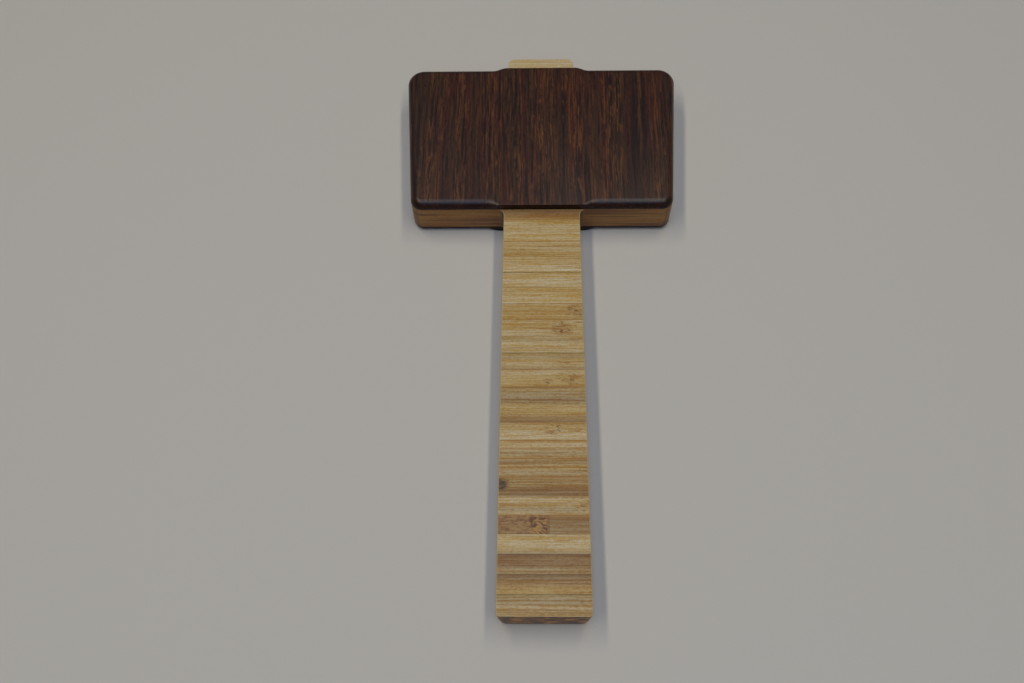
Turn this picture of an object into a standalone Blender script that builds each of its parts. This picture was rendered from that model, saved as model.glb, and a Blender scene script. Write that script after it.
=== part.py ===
"""Laminated wooden mallet.

A T-shaped bamboo board is core, handle and nub in one. It is glued up from strips that run along
the head and across the handle. A hardwood face plate is glued on each broad side of the head.

The mallet lies flat: +X runs along the head, +Y from the butt of the handle towards the head, and
+Z up. The origin is the middle of its footprint, level with the lower plate's outer face.
"""

import math

import bmesh
import bpy
from mathutils import Matrix, Vector

# Driving dimensions, in metres. Near is the side of the head that the handle leaves from.
HEAD_DEPTH = 0.0906
HEAD_LENGTH_NEAR = 0.1384
HEAD_LENGTH_FAR = 0.1500
HEAD_CORNER_NEAR = 0.0060
HEAD_CORNER_FAR = 0.0090
BOARD_THICKNESS = 0.0165
PLATE_THICKNESS = 0.0045

HANDLE_LENGTH = 0.2125
HANDLE_WIDTH_BUTT = 0.0435
HANDLE_WIDTH_HEAD = 0.0401
HANDLE_CORNER = 0.0035
NUB_LENGTH = 0.0103
NUB_WIDTH = 0.0366
NUB_CORNER = 0.0032
INSIDE_CORNER = 0.0032

STRIP_PITCH = 0.00916
STRIPS_IN_HEAD = 10
STRIPS_IN_HANDLE = 23
GLUE_GAP = 0.0003

# The router bit that rounds the plates' outer edges over, and where it stops each side of the
# middle, so that the edge beside the handle and the nub stays square.
ROUND_OVER = 0.0040
BIT_BEARING_RADIUS = 0.00635
BIT_STOP_NEAR = 0.0300
BIT_STOP_FAR = 0.0270

# How finely curves are drawn.
ARC_STEP = math.radians(11)
ROUND_OVER_STEPS = 6
STOP_STEPS = 8

# Places that follow from them.
BUTT_END = -(HANDLE_LENGTH + HEAD_DEPTH + NUB_LENGTH) / 2
NEAR_FACE = BUTT_END + HANDLE_LENGTH
FAR_FACE = NEAR_FACE + HEAD_DEPTH
NUB_END = FAR_FACE + NUB_LENGTH
BOARD_LOW = PLATE_THICKNESS + GLUE_GAP
BOARD_HIGH = BOARD_LOW + BOARD_THICKNESS
TOP_GLUE_FACE = BOARD_HIGH + GLUE_GAP
TOP_FACE = TOP_GLUE_FACE + PLATE_THICKNESS

# Colours: linear red, green and blue.
ROSEWOOD = (0.045, 0.018, 0.011)
BAMBOO_TONES = {
    "pale": (0.42, 0.31, 0.15),
    "golden": (0.34, 0.23, 0.09),
    "brown": (0.22, 0.13, 0.055),
}
# The handle strips' tones, from the butt to the head. The strips inside the head are golden.
HANDLE_TONES = (
    "pale golden brown pale brown pale brown golden golden pale golden brown "
    "golden golden pale golden golden pale pale pale golden pale pale"
).split()


def clear_scene():
    for obj in list(bpy.data.objects):
        bpy.data.objects.remove(obj, do_unlink=True)


def make_material(name, colour, roughness):
    material = bpy.data.materials.new(name)
    material.use_nodes = True
    shader = material.node_tree.nodes["Principled BSDF"]
    shader.inputs["Base Color"].default_value = (*colour, 1.0)
    shader.inputs["Roughness"].default_value = roughness
    shader.inputs["Metallic"].default_value = 0.0
    return material


def corner_arc(before, corner, after, radius):
    """The points of the arc of that radius, tangent to both sides of a corner."""
    to_before = (before - corner).normalized()
    to_after = (after - corner).normalized()
    half_angle = to_before.angle(to_after) / 2
    start = corner + to_before * (radius / math.tan(half_angle))
    end = corner + to_after * (radius / math.tan(half_angle))
    centre = corner + (to_before + to_after).normalized() * (radius / math.sin(half_angle))
    # angle_signed counts clockwise turns as positive, and Matrix.Rotation the other ones
    sweep = -(start - centre).angle_signed(end - centre)
    steps = math.ceil(abs(sweep) / ARC_STEP)
    turns = [Matrix.Rotation(sweep * step / steps, 2) for step in range(steps + 1)]
    return [centre + turn @ (start - centre) for turn in turns]


def board_edge():
    """The right-hand edge of the T board, from the butt to the end of the nub."""
    corners = [
        (HANDLE_WIDTH_BUTT / 2, BUTT_END, HANDLE_CORNER),
        (HANDLE_WIDTH_HEAD / 2, NEAR_FACE, INSIDE_CORNER),
        (HEAD_LENGTH_NEAR / 2, NEAR_FACE, HEAD_CORNER_NEAR),
        (HEAD_LENGTH_FAR / 2, FAR_FACE, HEAD_CORNER_FAR),
        (NUB_WIDTH / 2, FAR_FACE, INSIDE_CORNER),
        (NUB_WIDTH / 2, NUB_END, NUB_CORNER),
    ]
    places = [Vector((0, BUTT_END))]
    places += [Vector((x, y)) for x, y, _ in corners]
    places += [Vector((0, NUB_END))]
    edge = []
    for i, (_, _, radius) in enumerate(corners):
        edge += corner_arc(places[i], places[i + 1], places[i + 2], radius)
    return edge


def edge_between(edge, low, high):
    """The stretch of an edge that lies between two values of Y."""
    stretch = []
    for a, b in zip(edge, edge[1:]):
        if b.y <= low or a.y >= high:
            continue
        rise = b.y - a.y
        for y in (max(a.y, low), min(b.y, high)):
            point = a.lerp(b, (y - a.y) / rise) if rise else b
            if not stretch or (point - stretch[-1]).length > 1e-7:
                stretch.append(point)
    return stretch


def strip_lines():
    """Where the strips end, from the butt to the nub. One glue line is at the head's far face."""
    lines = [FAR_FACE - STRIP_PITCH * i for i in range(STRIPS_IN_HEAD + STRIPS_IN_HANDLE)]
    return [BUTT_END] + lines[::-1] + [NUB_END]


def add_object(name, bm, middle, material, parent):
    """An object of this mesh, with its own origin at the middle of the piece."""
    bmesh.ops.translate(bm, verts=bm.verts, vec=-middle)
    bmesh.ops.recalc_face_normals(bm, faces=bm.faces)
    mesh = bpy.data.meshes.new(name)
    bm.to_mesh(mesh)
    bm.free()
    mesh.materials.append(material)
    mesh.shade_smooth()
    mesh.set_sharp_from_angle(angle=math.radians(30))
    obj = bpy.data.objects.new(name, mesh)
    obj.location = middle
    obj.parent = parent
    bpy.context.scene.collection.objects.link(obj)


def make_strip(name, low, high, material, parent):
    """One bamboo strip: the board's outline between two glue lines, as thick as the board."""
    right = edge_between(board_edge(), low, high)
    left = [Vector((-point.x, point.y)) for point in reversed(right)]
    bm = bmesh.new()
    base = bm.faces.new([bm.verts.new((p.x, p.y, BOARD_LOW)) for p in right + left])
    raised = bmesh.ops.extrude_face_region(bm, geom=[base])["geom"]
    lifted = [item for item in raised if isinstance(item, bmesh.types.BMVert)]
    bmesh.ops.translate(bm, verts=lifted, vec=(0, 0, BOARD_THICKNESS))
    middle = Vector((0, (low + high) / 2, (BOARD_LOW + BOARD_HIGH) / 2))
    add_object(name, bm, middle, material, parent)


def bit_inset(point, stop, depth):
    """How far in the bit cuts at a place on the edge, at the height where it cuts depth deep.

    Past the stop, the cut follows the round bit out to the edge.
    """
    past = max(0, stop - abs(point.x))
    reach = BIT_BEARING_RADIUS + depth
    return max(0, math.sqrt(max(0, reach**2 - past**2)) - BIT_BEARING_RADIUS)


def plate_edge():
    """The plate's outline, anticlockwise: each place with the stop of the bit on its side."""
    near_x, far_x = HEAD_LENGTH_NEAR / 2, HEAD_LENGTH_FAR / 2
    corners = [
        (Vector((-near_x, NEAR_FACE)), HEAD_CORNER_NEAR),
        (Vector((near_x, NEAR_FACE)), HEAD_CORNER_NEAR),
        (Vector((far_x, FAR_FACE)), HEAD_CORNER_FAR),
        (Vector((-far_x, FAR_FACE)), HEAD_CORNER_FAR),
    ]
    run_out = bit_run_out()
    edge = []
    for i, (corner, radius) in enumerate(corners):
        stop = BIT_STOP_NEAR if i < 2 else BIT_STOP_FAR
        arc = corner_arc(corners[i - 1][0], corner, corners[(i + 1) % 4][0], radius)
        edge += [(point, stop) for point in arc]
        if i in (0, 2):
            across = [-(stop - past) for past in run_out]
            across += [-x for x in reversed(across)]
            direction = 1 if i == 0 else -1
            edge += [(Vector((direction * x, corner.y)), stop) for x in across]
    return edge


def bit_run_out():
    """How far past its stop the bit still cuts, in even steps of the angle round the bit."""
    reach = BIT_BEARING_RADIUS + ROUND_OVER
    last = math.acos(BIT_BEARING_RADIUS / reach)
    return [reach * math.sin(last * step / STOP_STEPS) for step in range(STOP_STEPS + 1)]


def make_plate(name, glue_z, outer_z, material, parent):
    """A face plate: flat glue face, straight sides, and the round-over on its outer edge."""
    edge = plate_edge()
    count = len(edge)
    up = 1 if outer_z > glue_z else -1
    bm = bmesh.new()
    rings = [[bm.verts.new((p.x, p.y, glue_z)) for p, _ in edge]]
    for step in range(ROUND_OVER_STEPS + 1):
        angle = math.pi / 2 * step / ROUND_OVER_STEPS
        depth = ROUND_OVER * (1 - math.cos(angle))
        height = outer_z - up * ROUND_OVER * (1 - math.sin(angle))
        ring = []
        for i, (p, stop) in enumerate(edge):
            along = edge[(i + 1) % count][0] - edge[i - 1][0]
            inward = Vector((-along.y, along.x)).normalized()
            cut = p + inward * bit_inset(p, stop, depth)
            ring.append(bm.verts.new((cut.x, cut.y, height)))
        rings.append(ring)
    for lower, upper in zip(rings, rings[1:]):
        for i in range(count):
            j = (i + 1) % count
            bm.faces.new((lower[i], lower[j], upper[j], upper[i]))
    bm.faces.new(rings[0])
    bm.faces.new(rings[-1])
    middle = Vector((0, (NEAR_FACE + FAR_FACE) / 2, (glue_z + outer_z) / 2))
    add_object(name, bm, middle, material, parent)


def strip_name(number):
    """Strips are counted from the butt, first those of the handle and then those of the head."""
    if number < STRIPS_IN_HANDLE:
        return f"handle_strip_{number + 1:02d}"
    if number < STRIPS_IN_HANDLE + STRIPS_IN_HEAD:
        return f"head_strip_{number - STRIPS_IN_HANDLE + 1:02d}"
    return "nub_strip"


def make_mallet():
    mallet = bpy.data.objects.new("mallet", None)
    bpy.context.scene.collection.objects.link(mallet)

    for name, glue_z, outer_z in (
        ("face_plate_bottom", PLATE_THICKNESS, 0.0),
        ("face_plate_top", TOP_GLUE_FACE, TOP_FACE),
    ):
        make_plate(name, glue_z, outer_z, make_material(name, ROSEWOOD, 0.35), mallet)

    lines = strip_lines()
    for number, (low, high) in enumerate(zip(lines, lines[1:])):
        name = strip_name(number)
        tone = HANDLE_TONES[number] if number < STRIPS_IN_HANDLE else "golden"
        start = low if low == BUTT_END else low + GLUE_GAP / 2
        end = high if high == NUB_END else high - GLUE_GAP / 2
        make_strip(name, start, end, make_material(name, BAMBOO_TONES[tone], 0.45), mallet)


clear_scene()
make_mallet()
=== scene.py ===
"""Looks of the laminated wooden mallet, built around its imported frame.

Each CAD node is replaced by a finer piece of the same shape: the rosewood plates with the cut of
the router bit, and the bamboo strips with eased edges and hairline glue joints between them.
Everything is in metres, with +X along the head, +Y from the butt to the head, and +Z up.
"""

import math

import bmesh
import bpy
from mathutils import Matrix, Vector


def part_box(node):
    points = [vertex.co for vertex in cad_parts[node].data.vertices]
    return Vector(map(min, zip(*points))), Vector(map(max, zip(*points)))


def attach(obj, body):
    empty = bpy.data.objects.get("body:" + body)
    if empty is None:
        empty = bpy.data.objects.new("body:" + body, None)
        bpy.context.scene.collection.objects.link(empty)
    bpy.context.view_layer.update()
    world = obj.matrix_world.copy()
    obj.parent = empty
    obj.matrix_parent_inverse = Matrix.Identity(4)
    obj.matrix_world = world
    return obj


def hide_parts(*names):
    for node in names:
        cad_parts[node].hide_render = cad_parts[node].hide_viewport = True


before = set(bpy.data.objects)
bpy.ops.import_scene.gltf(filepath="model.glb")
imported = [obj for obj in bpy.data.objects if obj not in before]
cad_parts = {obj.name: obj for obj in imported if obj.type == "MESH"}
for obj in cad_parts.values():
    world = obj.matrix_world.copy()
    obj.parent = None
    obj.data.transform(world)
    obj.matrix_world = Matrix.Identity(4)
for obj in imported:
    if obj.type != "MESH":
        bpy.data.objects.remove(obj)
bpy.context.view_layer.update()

# ---------------------------------------------------------------------------------------------
# Dimensions. Places come from the frame's boxes. The rest repeats the CAD's dimensions, apart from
# the nub's corners, which are a little rounder, and the eased edges, which only this script has.

HEAD_CORNER_NEAR = 0.0060
HEAD_CORNER_FAR = 0.0090
INSIDE_CORNER = 0.0032
NUB_WIDTH = 0.0366
NUB_CORNER = 0.0034
ROUND_OVER = 0.0040
BIT_BEARING_RADIUS = 0.00635
BIT_STOP_NEAR = 0.0300
BIT_STOP_FAR = 0.0270

# The CAD keeps a gap at each glued joint. The visible pieces close it to a hairline.
GAP_CLOSED = 0.00013

# The butt's corners are sanded rounder towards the underside.
BUTT_CORNER_TOP = 0.0018
BUTT_CORNER_UNDER = 0.0050
EASED_EDGE = 0.0006
PLATE_EASED_EDGE = 0.00025
# How much of the eased edge is left inside the head, where the board is glued to the plates.
EASE_LEFT_IN_HEAD = 0.03

# Steps that each curve is drawn in.
CORNER_STEPS = 14
EASE_STEPS = 4
ROUND_OVER_STEPS = 12
RUN_OUT_STEPS = 18

# Points closer than this are one point, and an end this close to the board's end is that end.
SAME_POINT = 1e-7
SAME_END = 1e-6
# Edges sharper than this stay sharp in the shading.
SHARP_ANGLE = math.radians(35)

PLATE_LOW, PLATE_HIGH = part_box("face_plate_top")
NEAR_FACE, FAR_FACE = PLATE_LOW.y, PLATE_HIGH.y
BUTT_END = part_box("handle_strip_01")[0].y
NUB_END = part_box("nub_strip")[1].y
BOARD_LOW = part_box("nub_strip")[0].z - GAP_CLOSED
BOARD_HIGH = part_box("nub_strip")[1].z + GAP_CLOSED


def head_side(y):
    """Where the head's striking face is at this y: a line through the ends of two strips."""
    a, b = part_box("head_strip_03")[1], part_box("head_strip_08")[1]
    return a.x + (b.x - a.x) * (y - a.y) / (b.y - a.y)


def handle_side(y):
    """Where the handle's side is at this y. The handle is wider at the butt."""
    a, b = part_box("handle_strip_02"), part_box("handle_strip_22")
    return a[1].x + (b[1].x - a[1].x) * (y - a[0].y) / (b[0].y - a[0].y)


# ---------------------------------------------------------------------------------------------
# Outlines


def corner_arc(before, corner, after, radius):
    """The points of the arc of that radius, tangent to both sides of a corner."""
    to_before = (before - corner).normalized()
    to_after = (after - corner).normalized()
    half_angle = to_before.angle(to_after) / 2
    start = corner + to_before * (radius / math.tan(half_angle))
    end = corner + to_after * (radius / math.tan(half_angle))
    centre = corner + (to_before + to_after).normalized() * (radius / math.sin(half_angle))
    sweep = -(start - centre).angle_signed(end - centre)
    turns = [Matrix.Rotation(sweep * i / CORNER_STEPS, 2) for i in range(CORNER_STEPS + 1)]
    return [centre + turn @ (start - centre) for turn in turns]


def board_edge(butt_corner):
    """The right-hand edge of the T board, from the butt to the end of the nub."""
    corners = [
        (handle_side(BUTT_END), BUTT_END, butt_corner),
        (handle_side(NEAR_FACE), NEAR_FACE, INSIDE_CORNER),
        (head_side(NEAR_FACE), NEAR_FACE, HEAD_CORNER_NEAR),
        (head_side(FAR_FACE), FAR_FACE, HEAD_CORNER_FAR),
        (NUB_WIDTH / 2, FAR_FACE, INSIDE_CORNER),
        (NUB_WIDTH / 2, NUB_END, NUB_CORNER),
    ]
    places = [Vector((0, BUTT_END))]
    places += [Vector((x, y)) for x, y, _ in corners]
    places += [Vector((0, NUB_END))]
    edge = []
    for i, (_, _, radius) in enumerate(corners):
        edge += corner_arc(places[i], places[i + 1], places[i + 2], radius)
    return edge


def edge_between(edge, low, high):
    """The stretch of an edge that lies between two values of Y."""
    stretch = []
    for a, b in zip(edge, edge[1:]):
        if b.y <= low or a.y >= high:
            continue
        rise = b.y - a.y
        for y in (max(a.y, low), min(b.y, high)):
            point = a.lerp(b, (y - a.y) / rise) if rise else b
            if not stretch or (point - stretch[-1]).length > SAME_POINT:
                stretch.append(point)
    return stretch


def outward(edge, i):
    """The outward direction at a point of a right-hand edge. At a glue line it is straight out."""
    if 0 < i < len(edge) - 1:
        along = edge[i + 1] - edge[i - 1]
        return Vector((along.y, -along.x)).normalized()
    if abs(edge[i].y - BUTT_END) < SAME_END:
        return Vector((0, -1))
    if abs(edge[i].y - NUB_END) < SAME_END:
        return Vector((0, 1))
    return Vector((1, 0))


def ease_at(y):
    """How far the board's edge is eased: handle and nub are sanded, the glued head isn't."""
    into_head = min(y - (NEAR_FACE - INSIDE_CORNER), (FAR_FACE + INSIDE_CORNER) - y)
    share = min(max(into_head / INSIDE_CORNER, 0), 1)
    return EASED_EDGE * (1 - (1 - EASE_LEFT_IN_HEAD) * share)


def bit_inset(point, stop, depth):
    """How far in the bit cuts at a place on the edge, at the height where it cuts depth deep.

    Past the stop, the cut follows the round bit out to the edge.
    """
    past = max(0, stop - abs(point.x))
    reach = BIT_BEARING_RADIUS + depth
    return max(0, math.sqrt(max(0, reach**2 - past**2)) - BIT_BEARING_RADIUS)


def bit_run_out():
    """How far past its stop the bit still cuts, in even steps of the angle round the bit."""
    reach = BIT_BEARING_RADIUS + ROUND_OVER
    last = math.acos(BIT_BEARING_RADIUS / reach)
    return [reach * math.sin(last * step / RUN_OUT_STEPS) for step in range(RUN_OUT_STEPS + 1)]


def plate_edge():
    """The plate's outline, anticlockwise: each place with the stop of the bit on its side."""
    corners = [
        (Vector((-head_side(NEAR_FACE), NEAR_FACE)), HEAD_CORNER_NEAR),
        (Vector((head_side(NEAR_FACE), NEAR_FACE)), HEAD_CORNER_NEAR),
        (Vector((head_side(FAR_FACE), FAR_FACE)), HEAD_CORNER_FAR),
        (Vector((-head_side(FAR_FACE), FAR_FACE)), HEAD_CORNER_FAR),
    ]
    run_out = bit_run_out()
    edge = []
    for i, (corner, radius) in enumerate(corners):
        stop = BIT_STOP_NEAR if i < 2 else BIT_STOP_FAR
        arc = corner_arc(corners[i - 1][0], corner, corners[(i + 1) % 4][0], radius)
        edge += [(point, stop) for point in arc]
        if i in (0, 2):
            across = [-(stop - past) for past in run_out]
            across += [-x for x in reversed(across)]
            direction = 1 if i == 0 else -1
            edge += [(Vector((direction * x, corner.y)), stop) for x in across]
    return edge


# ---------------------------------------------------------------------------------------------
# Pieces


def skin(rings):
    """A closed mesh through rings of points, with a flat face on the first and the last ring."""
    bm = bmesh.new()
    made = [[bm.verts.new(point) for point in ring] for ring in rings]
    count = len(made[0])
    for lower, upper in zip(made, made[1:]):
        for i in range(count):
            j = (i + 1) % count
            bm.faces.new((lower[i], lower[j], upper[j], upper[i]))
    bm.faces.new(made[0])
    bm.faces.new(made[-1])
    bmesh.ops.recalc_face_normals(bm, faces=bm.faces)
    return bm


def add_piece(node, bm, material):
    """A visible piece that stands for a CAD node."""
    mesh = bpy.data.meshes.new(f"{node}_wood")
    bm.to_mesh(mesh)
    bm.free()
    mesh.materials.append(material)
    mesh.shade_smooth()
    mesh.set_sharp_from_angle(angle=SHARP_ANGLE)
    piece = bpy.data.objects.new(f"{node}_wood", mesh)
    bpy.context.scene.collection.objects.link(piece)
    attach(piece, "root")
    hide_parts(node)


def strip_levels():
    """The board's height in levels: how far in the edge is, as a share of its ease, and where."""
    levels = []
    for i in range(EASE_STEPS + 1):
        angle = math.pi / 2 * i / EASE_STEPS
        levels.append((1 - math.sin(angle), 1 - math.cos(angle), 0))
    return levels + [(inset, -rise, 1) for inset, rise, _ in reversed(levels)]


def strip_mesh(low, high):
    """The part of the board between two values of Y."""
    rings = []
    for inset, rise, top in strip_levels():
        corner = BUTT_CORNER_TOP if top else BUTT_CORNER_UNDER
        edge = edge_between(board_edge(corner), low, high)
        right = []
        for i, point in enumerate(edge):
            ease = ease_at(point.y)
            place = point - outward(edge, i) * ease * inset
            height = (BOARD_HIGH if top else BOARD_LOW) + ease * rise
            right.append((place.x, place.y, height))
        rings.append(right + [(-x, y, z) for x, y, z in reversed(right)])
    return skin(rings)


def plate_mesh(glue_z, outer_z):
    """A face plate: flat glue face, straight sides, and the round-over on its outer edge."""
    edge = plate_edge()
    count = len(edge)
    up = 1 if outer_z > glue_z else -1
    rings = [[(p.x, p.y, glue_z) for p, _ in edge]]
    for step in range(ROUND_OVER_STEPS + 1):
        angle = math.pi / 2 * step / ROUND_OVER_STEPS
        depth = ROUND_OVER * (1 - math.cos(angle))
        height = outer_z - up * ROUND_OVER * (1 - math.sin(angle))
        ring = []
        for i, (p, stop) in enumerate(edge):
            along = edge[(i + 1) % count][0] - edge[i - 1][0]
            inward = Vector((-along.y, along.x)).normalized()
            inset = bit_inset(p, stop, depth)
            if step == ROUND_OVER_STEPS:
                inset = max(inset, PLATE_EASED_EDGE)
            cut = p + inward * inset
            ring.append((cut.x, cut.y, height))
        rings.append(ring)
    return skin(rings)


# ---------------------------------------------------------------------------------------------
# Materials

# How much of the white that falls on the upper faces comes back: what turns a colour as it looks
# under these lights into the colour of the wood.
LIGHT_ON_TOP = 0.55

# The depth that a height of 1 stands for in a material's bump.
BUMP_DEPTH = 0.0002


def seen(red, green, blue):
    """The base colour that looks like these 0 to 255 values under the stage's lights."""
    linear = [((c / 255 + 0.055) / 1.055) ** 2.4 for c in (red, green, blue)]
    return (*(c / LIGHT_ON_TOP for c in linear), 1.0)


class Graph:
    """A material's nodes. A value is a number, a vector, a colour or another node's output."""

    def __init__(self, name):
        self.material = bpy.data.materials.new(name)
        self.material.use_nodes = True
        self.nodes = self.material.node_tree.nodes
        self.links = self.material.node_tree.links
        self.shader = self.nodes["Principled BSDF"]
        place = self.node("ShaderNodeTexCoord").outputs["Object"]
        self.x, self.y, self.z = self.node("ShaderNodeSeparateXYZ", {0: place}).outputs
        normal = self.node("ShaderNodeNewGeometry").outputs["Normal"]
        facing = self.node("ShaderNodeSeparateXYZ", {0: normal}).outputs
        self.facing_x = self.math("ABSOLUTE", facing[0])
        self.facing_y = self.math("ABSOLUTE", facing[1])
        self.facing_z = self.math("ABSOLUTE", facing[2])

    def set(self, socket, value):
        if isinstance(value, bpy.types.NodeSocket):
            self.links.new(value, socket)
        else:
            socket.default_value = value

    def node(self, kind, values=(), **settings):
        node = self.nodes.new(kind)
        for key, value in settings.items():
            setattr(node, key, value)
        for key, value in dict(values).items():
            self.set(node.inputs[key], value)
        return node

    def math(self, operation, *values):
        return self.node("ShaderNodeMath", enumerate(values), operation=operation).outputs[0]

    def add(self, first, second):
        return self.math("ADD", first, second)

    def times(self, first, second):
        return self.math("MULTIPLY", first, second)

    def vector(self, x, y, z):
        return self.node("ShaderNodeCombineXYZ", {0: x, 1: y, 2: z}).outputs[0]

    def step(self, value, low, high):
        """0 at low, 1 at high, and smooth between them. High may be the lower one."""
        values = {0: value, 1: low, 2: high}
        return self.node("ShaderNodeMapRange", values, interpolation_type="SMOOTHSTEP").outputs[0]

    def noise(self, vector, scale, detail=2.0, roughness=0.5):
        values = {"Vector": vector, "Scale": scale, "Detail": detail, "Roughness": roughness}
        return self.node("ShaderNodeTexNoise", values).outputs[0]

    def thread(self, noise, width):
        """Thin lines that wander where a noise passes its middle value."""
        away = self.math("ABSOLUTE", self.add(noise, -0.5))
        return self.step(away, width, width * 0.3)

    def cells(self, vector, scale):
        """The distance from the nearest of many scattered points, as a share of their spacing."""
        return self.node("ShaderNodeTexVoronoi", {"Vector": vector, "Scale": scale}).outputs[0]

    def mix(self, share, first, second, blend="MIX"):
        """The second colour mixed into the first. Sockets 6, 7 and 2 are the node's colour ones."""
        values = {0: share, 6: first, 7: second}
        node = self.node("ShaderNodeMix", values, data_type="RGBA", blend_type=blend)
        return node.outputs[2]

    def tinted(self, colour, tint):
        """The colour, multiplied by a tint."""
        return self.mix(1.0, colour, (*tint, 1.0), "MULTIPLY")

    def lay(self, colour, noise, none, full, share, tone):
        """A tone over the colour: nothing where the noise is at none, and its share at full."""
        return self.mix(self.times(self.step(noise, none, full), share), colour, tone)

    def ramp(self, value, colours):
        """A colour ramp through evenly spaced colours."""
        node = self.node("ShaderNodeValToRGB", {0: value})
        elements = node.color_ramp.elements
        elements[1].position = 1.0
        for i in range(1, len(colours) - 1):
            elements.new(i / (len(colours) - 1))
        for element, colour in zip(elements, colours):
            element.color = colour
        return node.outputs[0]

    def spot(self, x, y, half_x, half_y):
        """1 at a place seen from above, falling to 0 at an ellipse round it."""
        dx = self.math("DIVIDE", self.add(self.x, -x), half_x)
        dy = self.math("DIVIDE", self.add(self.y, -y), half_y)
        away = self.math("SQRT", self.add(self.times(dx, dx), self.times(dy, dy)))
        return self.step(away, 1.0, 0.4)

    def finish(self, colour, roughness, height, bump):
        self.set(self.shader.inputs["Base Color"], colour)
        self.set(self.shader.inputs["Roughness"], roughness)
        values = {"Height": height, "Strength": bump, "Distance": BUMP_DEPTH}
        self.set(self.shader.inputs["Normal"], self.node("ShaderNodeBump", values).outputs[0])
        return self.material


BAMBOO = {
    "white": seen(176, 164, 134),
    "cream": seen(164, 148, 112),
    "pale": seen(158, 140, 102),
    "straw": seen(156, 135, 90),
    "gold": seen(150, 125, 74),
    "grey": seen(143, 126, 92),
    "olive": seen(140, 119, 77),
    "tan": seen(136, 110, 68),
    "drab": seen(130, 109, 76),
    "brown": seen(122, 96, 60),
    "umber": seen(104, 78, 47),
    "orange": seen(140, 98, 38),
    "green": seen(102, 90, 46),
}

# The handle's strips from the butt: the tones across each strip from its butt side to its head
# side, then the tone of the line at its head-side glue joint, if it shows.
HANDLE_STRIPS = (
    ("gold grey pale grey grey olive", "green"),
    ("gold gold tan drab umber", "umber"),
    ("olive grey brown brown brown umber", "umber"),
    ("grey pale cream cream pale", ""),
    ("drab drab drab brown tan", "orange"),
    ("cream grey pale cream grey", ""),
    ("drab brown olive olive tan", "orange"),
    ("straw grey gold grey olive", "orange"),
    ("gold grey pale cream straw", "orange"),
    ("cream cream pale straw tan", ""),
    ("brown tan gold straw pale", ""),
    ("olive drab grey grey gold", "brown"),
    ("gold straw straw pale straw", ""),
    ("tan pale straw grey gold", "green"),
    ("pale pale cream olive pale", ""),
    ("pale pale pale straw pale", ""),
    ("gold straw gold straw pale", "orange"),
    ("cream cream cream straw cream", ""),
    ("straw cream cream cream straw", "green"),
    ("white cream cream straw straw", ""),
    ("straw gold pale straw cream", "orange"),
    ("cream cream cream pale cream", ""),
    # The last strip turns brown towards the head: partly its own tone, partly painted shade where
    # the plate shades it.
    ("cream straw tan brown brown", "umber"),
)
# The strips with the most thin lines.
THREADED_STRIPS = [f"handle_strip_{number:02d}" for number in (1, 2, 3, 6, 7, 8, 9, 12)]
HEAD_STRIPS = (
    ("brown tan gold straw gold", ""),
    ("straw pale gold", "brown"),
    ("tan gold olive", ""),
    ("pale straw straw", "orange"),
    ("gold tan gold", ""),
    ("straw pale pale", ""),
    ("olive gold tan", "brown"),
    ("gold straw straw", ""),
    ("pale straw gold", ""),
    ("gold tan gold", ""),
)
NUB_LOOK = ("cream white white white white", "")
NUB_FADE = 0.5

# Each piece has its own seed, its place in the noises. From strip to strip it grows by a step.
HANDLE_SEED, HEAD_SEED, NUB_SEED = 5, 20, 31.7
SEED_STEP = 0.37
PLATE_SEEDS = {"face_plate_bottom": 3.7, "face_plate_top": 1.3}

# The nodes of the cane: strip, place along the head, share of the strip's width from its butt
# side, half its length, half its width, tone, and how dark its flecks are. Lengths are in
# millimetres.
CANE_NODES = (
    ("handle_strip_06", 21.0, 0.45, 9.0, 5.5, "gold", 0.5),
    ("handle_strip_10", 5.6, 0.55, 6.0, 5.0, "gold", 0.7),
    ("handle_strip_13", 12.0, 0.45, 9.5, 5.2, "gold", 0.5),
    ("handle_strip_13", 2.5, 0.3, 3.0, 2.0, "tan", 0.8),
    ("handle_strip_16", 9.6, 0.45, 6.5, 5.2, "tan", 0.9),
    ("handle_strip_17", 17.5, 0.5, 7.5, 5.0, "tan", 0.8),
)
NODE_FLECK = seen(88, 58, 32)
NODE_LINE = seen(132, 94, 42)
# One strip was cut close to a node that fills it from side to side, and ends at a straight line.
CUT_NODE_STRIP = "handle_strip_05"
CUT_NODE_START = -0.0062
CUT_NODE_END = 0.0016
CUT_NODE_TONES = (seen(90, 56, 32), seen(114, 78, 46), BAMBOO["tan"], BAMBOO["drab"])
# A dark knot beside the handle's left edge: place, share and half sizes, as for the cane's nodes.
KNOT_STRIP = "handle_strip_07"
KNOT = (-20.8, 0.6, 6.2, 4.7)
# The butt is end-on to the eye. Dark and golden tones darken its end: partly marks that it has,
# partly painted shade.
BUTT_STRIP = "handle_strip_01"
BUTT_STAINS_AND_SHADE = (seen(24, 14, 14), seen(62, 36, 24), seen(100, 62, 32), seen(160, 112, 58))

# How far the fibres wave across the strip, and swirl round the cane's nodes.
WAVE = 0.0006
SWIRL = 0.0050

# Noises drawn out along the fibres: how much shorter a length along the strip counts than one
# across it, grains to a metre across it, detail and roughness.
FIBRES = {
    "broad": (0.016, 330, 2.0, 0.5),
    "lines": (0.016, 760, 1.0, 0.5),
    "hairs": (0.02, 1080, 1.0, 0.5),
    "crisp": (0.014, 980, 0.0, 0.5),
    "fine": (0.055, 1900, 2.0, 0.6),
    "patchy": (0.3, 120, 1.0, 0.5),
}
# Noises of short streaks, in the same terms.
STREAKS = {
    "dashes": (0.3, 1500, 1.0, 0.5),
    "grain": (0.7, 2600, 1.0, 0.5),
    "ripples": (0.1, 850, 1.0, 0.5),
    "mottle": (0.4, 800, 2.0, 0.65),
}
# The noises that every strip has.
ALL_STRIPS_NOISES = ("broad", "lines", "hairs", "fine", "patchy", "dashes", "grain")
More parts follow.
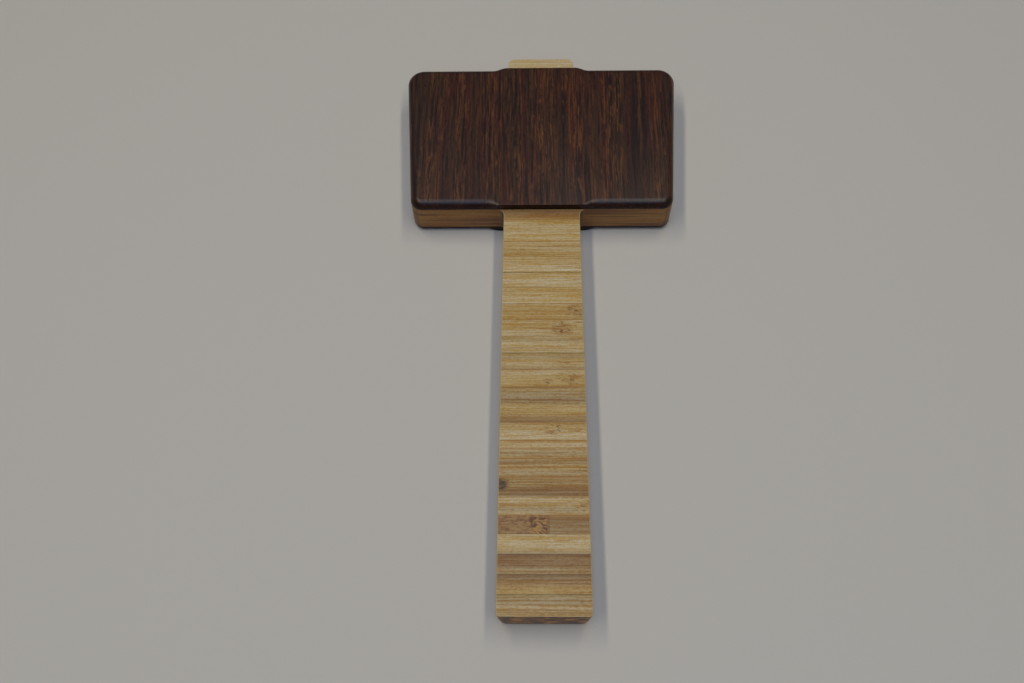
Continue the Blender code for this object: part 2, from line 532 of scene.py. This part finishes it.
# What the lines do to the colour under them.
TINTS = {"gold": (0.88, 0.68, 0.25), "brown": (0.67, 0.43, 0.16), "whitish": (1.12, 1.22, 1.50)}
# Brown threads that wander along the strip: threads to a metre, thickness, and their share on
# plain strips and on threaded ones.
THREADS = ((420, 0.018, (0.9, 0.9)), (900, 0.04, (0.9, 0.9)), (1200, 0.075, (0.3, 1.0)))
# Fine lines in the order that they are laid: noise, where the noise gives none and all of the
# line, its share on plain strips and on threaded ones, and its tint.
FINE_LINES = (
    ("hairs", 0.46, 0.34, (0.85, 0.85), "gold"),
    ("hairs", 0.54, 0.66, (0.75, 0.75), "whitish"),
    ("crisp", 0.46, 0.38, (0, 0.7), "brown"),
    ("crisp", 0.54, 0.62, (0, 0.6), "whitish"),
    ("fine", 0.5, 0.35, (0.55, 0.55), "gold"),
    ("fine", 0.53, 0.68, (0.5, 0.5), "whitish"),
    ("dashes", 0.46, 0.34, (0.35, 0.5), "brown"),
    ("dashes", 0.56, 0.7, (0.4, 0.4), "whitish"),
    ("grain", 0.46, 0.3, (0.35, 0.35), "brown"),
    ("grain", 0.54, 0.7, (0.35, 0.35), "whitish"),
)


def along_fibres(g, y, seed, stretch):
    """A place for noises that are drawn out along the fibres."""
    return g.vector(g.add(g.times(g.x, stretch), seed), y, g.z)


def bamboo_noise(g, y, seed, kind):
    """One of the bamboo's noises."""
    if kind in FIBRES:
        stretch, scale, detail, roughness = FIBRES[kind]
        return g.noise(along_fibres(g, y, seed, stretch), scale, detail, roughness)
    stretch, scale, detail, roughness = STREAKS[kind]
    place = g.vector(g.times(g.x, stretch), y, g.add(g.z, seed))
    return g.noise(place, scale, detail, roughness)


def on_strip(g, low, high, x, share, half_x, half_y):
    """The mask of an ellipse on a strip, in the terms of the table of the cane's nodes."""
    return g.spot(x / 1000, low + share * (high - low), half_x / 1000, half_y / 1000)


def swirl_fibres(g, y, seed, masks):
    """Y, moved by swirls inside the masks."""
    inside = masks[0]
    for mask in masks[1:]:
        inside = g.math("MAXIMUM", inside, mask)
    swirl = g.noise(g.vector(g.x, g.y, g.add(g.z, seed)), 270, 2.0)
    return g.add(y, g.times(inside, g.times(g.add(swirl, -0.5), SWIRL)))


def flecks(g, seed, least):
    """Short flecks that lean a little from the fibres. The lower the least, the more there are."""
    place = g.vector(g.times(g.x, 0.45), g.add(g.y, g.times(g.x, 0.35)), g.add(g.z, seed))
    return g.step(g.noise(place, 1050, 1.0), least, least + 0.1)


def cane_node(g, colour, y, seed, mask, tone, darkness):
    """Wavy lines and dark flecks inside the mask."""
    ripples = bamboo_noise(g, y, seed, "ripples")
    colour = g.mix(g.times(mask, 0.45), colour, BAMBOO[tone])
    golden = g.times(mask, g.step(ripples, 0.5, 0.38))
    colour = g.mix(g.times(golden, 0.85), colour, NODE_LINE)
    pale = g.times(mask, g.step(ripples, 0.56, 0.68))
    colour = g.mix(g.times(pale, 0.6), colour, BAMBOO["cream"])
    dark = g.times(flecks(g, seed, 0.545), mask)
    return g.mix(g.times(dark, darkness), colour, NODE_FLECK)


def cut_node(g, colour, y, seed):
    """Reddish, flecked wood that gets darker towards the node, and plain wood past its end."""
    before = g.step(g.x, CUT_NODE_END + 0.0002, CUT_NODE_END - 0.0001)
    inside = g.times(g.step(g.x, CUT_NODE_START - 0.002, CUT_NODE_START + 0.001), before)
    mottle = bamboo_noise(g, y, seed, "mottle")
    mottled = g.ramp(g.step(mottle, 0.2, 0.8), CUT_NODE_TONES)
    colour = g.mix(g.times(before, 0.75), colour, mottled)
    golden = g.times(g.step(mottle, 0.42, 0.56), inside)
    colour = g.mix(g.times(golden, 0.7), colour, seen(150, 112, 60))
    dark = g.times(flecks(g, seed, 0.51), g.add(0.25, g.times(inside, 0.6)))
    colour = g.mix(g.times(dark, before), colour, seen(76, 44, 24))
    from_end = g.math("ABSOLUTE", g.add(g.x, -CUT_NODE_END - 0.0006))
    return g.lay(colour, from_end, 0.0009, 0.0003, 0.6, seen(106, 70, 38))


def bent_fibres(g, node, seed, masks):
    """Which fibre runs through a place: its Y, moved by the waves and by the swirls."""
    y = g.y
    if node == CUT_NODE_STRIP:
        end = g.step(g.x, CUT_NODE_END, CUT_NODE_END - 0.0004)
        masks = [g.times(g.step(g.x, -0.012, -0.004), end)]
    if masks:
        y = swirl_fibres(g, y, seed, masks)
    wave = g.noise(g.vector(g.times(g.x, 22), g.times(g.y, 90), g.add(g.z, seed)), 1.0, 1.0)
    return g.add(y, g.times(g.add(wave, -0.5), WAVE))


def bamboo_lines(g, colour, y, seed, noises, threaded):
    """The lines of the fibres, from the broad ones to the finest grain."""
    tints = {name: g.tinted(colour, tint) for name, tint in TINTS.items()}
    colour = g.mix(g.step(noises["lines"], 0.5, 0.66), colour, tints["whitish"])
    gold = g.times(g.step(noises["lines"], 0.5, 0.36), g.step(noises["patchy"], 0.2, 0.5))
    colour = g.mix(g.times(gold, 0.85), colour, tints["gold"])
    long = along_fibres(g, y, seed, FIBRES["lines"][0])
    for scale, thickness, shares in THREADS:
        thread = g.thread(g.noise(long, scale, 0.0), thickness)
        thread = g.times(thread, g.step(noises["patchy"], 0.32, 0.5))
        colour = g.mix(g.times(thread, shares[threaded]), colour, tints["brown"])
    for kind, none, full, shares, tint in FINE_LINES:
        if shares[threaded]:
            colour = g.lay(colour, noises[kind], none, full, shares[threaded], tints[tint])
    return colour


def knot(g, colour, low, high, dashes):
    """A dark knot with a ragged edge and a brown rim."""
    ragged = g.math("MULTIPLY_ADD", g.add(dashes, -0.5), 2.0, on_strip(g, low, high, *KNOT))
    colour = g.lay(colour, ragged, 0.0, 0.8, 0.8, seen(108, 80, 48))
    return g.lay(colour, ragged, 0.45, 1.25, 0.95, seen(44, 37, 30))


def glue_joints(g, colour, low, high, tone, fine):
    """A thin line of glue at both sides of a strip, and at some head sides a dark line."""
    if tone:
        line = g.step(g.math("SUBTRACT", high, g.y), 0.0009, 0.0002)
        colour = g.mix(g.times(line, g.step(fine, 0.75, 0.4)), colour, BAMBOO[tone])
    from_edge = g.math("MINIMUM", g.add(g.y, -low), g.math("SUBTRACT", high, g.y))
    return g.lay(colour, from_edge, 0.00018, 0.00004, 0.25, seen(92, 70, 38))


def cut_faces(g, colour, y, seed):
    """Edges lightened by wear and by a painted highlight, and sides that face along the handle
    darkened with painted shade over their layers, more so in corners; dots on the end grain.
    """
    bundles = g.cells(along_fibres(g, y, seed, FIBRES["lines"][0]), 1150)
    end_grain = g.tinted(colour, (0.70, 0.58, 0.42))
    end_grain = g.lay(end_grain, bundles, 0.42, 0.3, 0.65, seen(84, 62, 36))

    layers = g.noise(along_fibres(g, 0.0, seed, 0.03), 340, 2.0, 0.65)
    # The sides that face along the handle get a darker, oranger tint that is painted shade, with
    # the wood's own layers laid over it.
    wall = g.tinted(colour, (0.86, 0.64, 0.31))
    wall = g.lay(wall, layers, 0.50, 0.40, 0.7, seen(72, 46, 26))
    wall = g.lay(wall, layers, 0.54, 0.66, 0.4, seen(130, 100, 60))
    # Painted shade where a side turns between facing across and along the handle: the inside
    # corners and the head's rounded corners.
    corner = g.times(g.step(g.facing_x, 0.25, 0.5), g.step(g.facing_y, 0.25, 0.5))
    wall = g.mix(g.times(corner, 0.5), wall, seen(66, 42, 24))

    # Eased edges are lightened: partly wear, partly a painted highlight.
    sanded = g.times(g.step(g.facing_z, 0.3, 0.5), g.step(g.facing_z, 0.97, 0.9))
    colour = g.mix(g.times(sanded, 0.6), colour, BAMBOO["white"])
    # The upright sides take that colour, painted shade and all.
    upright = g.times(g.step(g.facing_z, 0.4, 0.2), g.step(g.facing_y, 0.15, 0.5))
    colour = g.mix(upright, colour, wall)
    return g.mix(g.step(g.facing_x, 0.9, 0.98), colour, end_grain)


def stained_and_shaded_butt(g, colour, seed):
    """Dark and golden stains on the butt's end: partly marks that it has, partly painted shade."""
    stain = g.noise(g.vector(g.times(g.x, 0.25), seed, g.z), 520, 2.0, 0.6)
    stains_and_shade = g.ramp(g.step(stain, 0.36, 0.64), BUTT_STAINS_AND_SHADE)
    return g.lay(colour, g.facing_y, 0.6, 0.9, 0.85, stains_and_shade)


def bamboo(node, seed, low, high, look):
    """Bamboo with its fibres along X: lines on the long faces, bundles of dots on the ends.

    The strip lies between two values of Y, low on its butt side and high on its head side.
    """
    tones, joint = look
    threaded = node in THREADED_STRIPS
    g = Graph(f"bamboo_{node}")
    spots = [spot for spot in CANE_NODES if spot[0] == node]
    masks = [on_strip(g, low, high, *spot[1:5]) for spot in spots]
    y = bent_fibres(g, node, seed, masks)
    noises = {kind: bamboo_noise(g, y, seed, kind) for kind in ALL_STRIPS_NOISES}
    if threaded:
        noises["crisp"] = bamboo_noise(g, y, -seed, "crisp")

    across = g.math("DIVIDE", g.add(y, -low), high - low)
    across = g.add(across, g.times(g.add(noises["broad"], -0.5), 0.16))
    colour = g.ramp(across, [BAMBOO[tone] for tone in tones.split()])
    colour = bamboo_lines(g, colour, y, seed, noises, threaded)
    if node == "nub_strip":
        colour = g.mix(NUB_FADE, colour, BAMBOO["cream"])
    for mask, (*_, tone, darkness) in zip(masks, spots):
        colour = cane_node(g, colour, y, seed, mask, tone, darkness)
    if node == CUT_NODE_STRIP:
        colour = cut_node(g, colour, y, seed)
    if node == KNOT_STRIP:
        colour = knot(g, colour, low, high, noises["dashes"])
    colour = glue_joints(g, colour, low, high, joint, noises["fine"])
    colour = cut_faces(g, colour, y, seed)
    if node == BUTT_STRIP:
        colour = stained_and_shaded_butt(g, colour, seed)

    height = g.add(noises["lines"], g.times(noises["fine"], 0.6))
    roughness = g.add(0.42, g.times(noises["fine"], 0.16))
    return g.finish(colour, roughness, height, 0.3)


# The plates' tones, from dark bands to light ones, and how far their grain bends.
RED_TONES = (seen(33, 20, 23), seen(47, 24, 23), seen(62, 30, 24), seen(70, 35, 25))
TAWNY_TONES = (seen(28, 20, 23), seen(42, 27, 24), seen(56, 35, 25), seen(66, 42, 27))
GRAIN_BEND = 0.004


def rosewood(name, seed):
    """Dark rosewood with its grain along Y: black and orange streaks, dashes and open pores."""
    g = Graph(name)
    bend = g.noise(g.vector(g.times(g.x, 25), g.times(g.y, 14), g.add(g.z, seed)), 1.0)
    x = g.add(g.x, g.times(g.add(bend, -0.5), GRAIN_BEND))
    long, middle, short, dotted = (
        g.vector(x, g.add(g.times(g.y, stretch), seed), g.z) for stretch in (0.02, 0.055, 0.16, 0.1)
    )
    bands = g.noise(long, 130, 1.0)
    hue = g.noise(middle, 160, 1.0)
    streaks = g.noise(long, 640, 2.0, 0.6)
    threads = g.noise(middle, 1000, 1.0)
    fine = g.noise(short, 1900, 2.0, 0.6)
    dashes = g.noise(short, 900, 1.0)
    pores = g.step(g.cells(dotted, 1400), 0.2, 0.1)
    light = g.step(bands, 0.36, 0.58)

    colour = g.mix(g.step(hue, 0.35, 0.6), g.ramp(bands, RED_TONES), g.ramp(bands, TAWNY_TONES))
    colour = g.lay(colour, streaks, 0.48, 0.34, 0.95, seen(24, 15, 20))
    colour = g.lay(colour, streaks, 0.54, 0.68, 0.55, seen(80, 46, 27))
    colour = g.lay(colour, threads, 0.54, 0.68, g.times(light, 0.75), seen(86, 52, 30))
    colour = g.lay(colour, threads, 0.47, 0.33, 0.75, seen(21, 14, 18))
    colour = g.lay(colour, dashes, 0.6, 0.74, g.times(light, 0.6), seen(94, 60, 36))
    colour = g.lay(colour, fine, 0.46, 0.32, 0.65, seen(20, 13, 16))
    colour = g.mix(g.times(pores, 0.6), colour, seen(12, 8, 8))

    # The sides that face along the handle are darkened with painted shade, and shine less than the
    # flat face.
    painted_side_shade = g.tinted(colour, (0.4, 0.34, 0.36))
    colour = g.mix(g.step(g.facing_y, 0.05, 0.5), colour, painted_side_shade)
    shine = g.math("MULTIPLY_ADD", g.step(g.facing_z, 0.75, 0.3), -0.31, 0.46)
    g.set(g.shader.inputs["Specular IOR Level"], shine)

    height = g.add(g.times(fine, 0.5), g.times(pores, -1.0))
    roughness = g.add(0.26, g.times(fine, 0.16))
    return g.finish(colour, roughness, height, 0.2)


# ---------------------------------------------------------------------------------------------
# The mallet


def make_plate(node, glue_z, outer_z):
    material = rosewood(node.replace("face_plate", "rosewood"), PLATE_SEEDS[node])
    add_piece(node, plate_mesh(glue_z, outer_z), material)


def make_plates():
    low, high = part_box("face_plate_bottom"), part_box("face_plate_top")
    make_plate("face_plate_bottom", low[1].z + GAP_CLOSED, low[0].z)
    make_plate("face_plate_top", high[0].z - GAP_CLOSED, high[1].z)


def make_strip(node, seed, look):
    low, high = (corner.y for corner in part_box(node))
    if low > BUTT_END:
        low -= GAP_CLOSED
    if high < NUB_END:
        high += GAP_CLOSED
    material = bamboo(node, seed, low, high, look)
    add_piece(node, strip_mesh(low, high), material)


def make_board():
    for i, look in enumerate(HANDLE_STRIPS):
        make_strip(f"handle_strip_{i + 1:02d}", SEED_STEP * i + HANDLE_SEED, look)
    for i, look in enumerate(HEAD_STRIPS):
        make_strip(f"head_strip_{i + 1:02d}", SEED_STEP * i + HEAD_SEED, look)
    make_strip("nub_strip", NUB_SEED, NUB_LOOK)


# ---------------------------------------------------------------------------------------------
# Stage

# The floor, with the wall that it sweeps up into, and the steps that its curves are drawn in.
FLOOR_RADIUS = 2.4
SWEEP_RADIUS = 0.8
SWEEP_TOP = 2.6
SWEEP_STEPS = 12
FLOOR_SIDES = 96
# The floor's innermost ring, which one face fills.
FLOOR_CENTRE = 0.001

# The lights: name, place, size, power in watts and colour.
WARM, COOL = (1.0, 0.91, 0.69), (0.5, 0.85, 1.7)
LIGHTS = (
    ("strip_light_left", (-0.56, 0.0, 1.6), (0.12, 1.6), 7.1, WARM),
    ("strip_light_right", (0.42, 0.0, 1.6), (0.12, 1.6), 6.1, WARM),
    ("overhead_light", (0.0, -0.47, 1.6), (0.48, 2.25), 3.3, COOL),
)
WORLD_COLOUR = (1.0, 0.90, 0.70, 1)
WORLD_STRENGTH = 0.07

# The camera: focal length and sensor width in millimetres, place, and degrees of turn, tilt and
# lean.
LENS, SENSOR_WIDTH = 37.42, 36.0
CAMERA_PLACE = (-0.0051, -0.2492, 0.4999)
CAMERA_TURN, CAMERA_TILT, CAMERA_LEAN = 2.543, 25.472, -2.412


def make_floor():
    """A round floor that sweeps up into a wall on all sides."""
    g = Graph("floor")
    dust = g.noise(g.vector(g.x, g.y, g.z), 900, 2.0)
    g.finish(g.mix(dust, (0.69, 0.68, 0.665, 1), (0.71, 0.70, 0.685, 1)), 0.85, dust, 0.05)
    profile = [(FLOOR_CENTRE, 0.0), (FLOOR_RADIUS, 0.0)]
    for step in range(1, SWEEP_STEPS + 1):
        angle = math.pi / 2 * step / SWEEP_STEPS
        out = FLOOR_RADIUS + SWEEP_RADIUS * math.sin(angle)
        profile.append((out, SWEEP_RADIUS * (1 - math.cos(angle))))
    profile.append((FLOOR_RADIUS + SWEEP_RADIUS, SWEEP_TOP))
    around = [2 * math.pi * i / FLOOR_SIDES for i in range(FLOOR_SIDES)]
    bm = bmesh.new()
    rings = []
    for out, height in profile:
        places = [(out * math.cos(angle), out * math.sin(angle), height) for angle in around]
        rings.append([bm.verts.new(place) for place in places])
    for inner, outer in zip(rings, rings[1:]):
        for i in range(len(around)):
            j = (i + 1) % len(around)
            bm.faces.new((inner[i], outer[i], outer[j], inner[j]))
    bm.faces.new(rings[0])
    mesh = bpy.data.meshes.new("floor")
    bm.to_mesh(mesh)
    bm.free()
    mesh.materials.append(g.material)
    mesh.shade_smooth()
    floor = bpy.data.objects.new("floor", mesh)
    bpy.context.scene.collection.objects.link(floor)


def make_light(name, place, size, power, colour):
    """A softbox that faces the mallet. Its long side is parallel to the handle."""
    data = bpy.data.lights.new(name, "AREA")
    data.shape = "RECTANGLE"
    data.size, data.size_y = size
    data.energy = power
    data.color = colour
    light = bpy.data.objects.new(name, data)
    light.location = place
    x, y, z = place
    light.rotation_euler = (-math.atan2(y, z), math.atan2(x, z), 0)
    bpy.context.scene.collection.objects.link(light)


def make_lights():
    for light in LIGHTS:
        make_light(*light)
    world = bpy.data.worlds.new("studio")
    world.use_nodes = True
    world.node_tree.nodes["Background"].inputs["Color"].default_value = WORLD_COLOUR
    world.node_tree.nodes["Background"].inputs["Strength"].default_value = WORLD_STRENGTH
    bpy.context.scene.world = world


def make_camera():
    data = bpy.data.cameras.new("camera")
    data.lens = LENS
    data.sensor_width = SENSOR_WIDTH
    data.clip_start = 0.01
    camera = bpy.data.objects.new("camera", data)
    turn = Matrix.Rotation(math.radians(CAMERA_TURN), 4, "Z")
    tilt = Matrix.Rotation(math.radians(CAMERA_TILT), 4, "X")
    lean = Matrix.Rotation(math.radians(CAMERA_LEAN), 4, "Z")
    camera.matrix_world = Matrix.Translation(CAMERA_PLACE) @ turn @ tilt @ lean
    bpy.context.scene.collection.objects.link(camera)
    bpy.context.scene.camera = camera


make_plates()
make_board()
make_floor()
make_lights()
make_camera()
bpy.context.scene.view_settings.view_transform = "Standard"
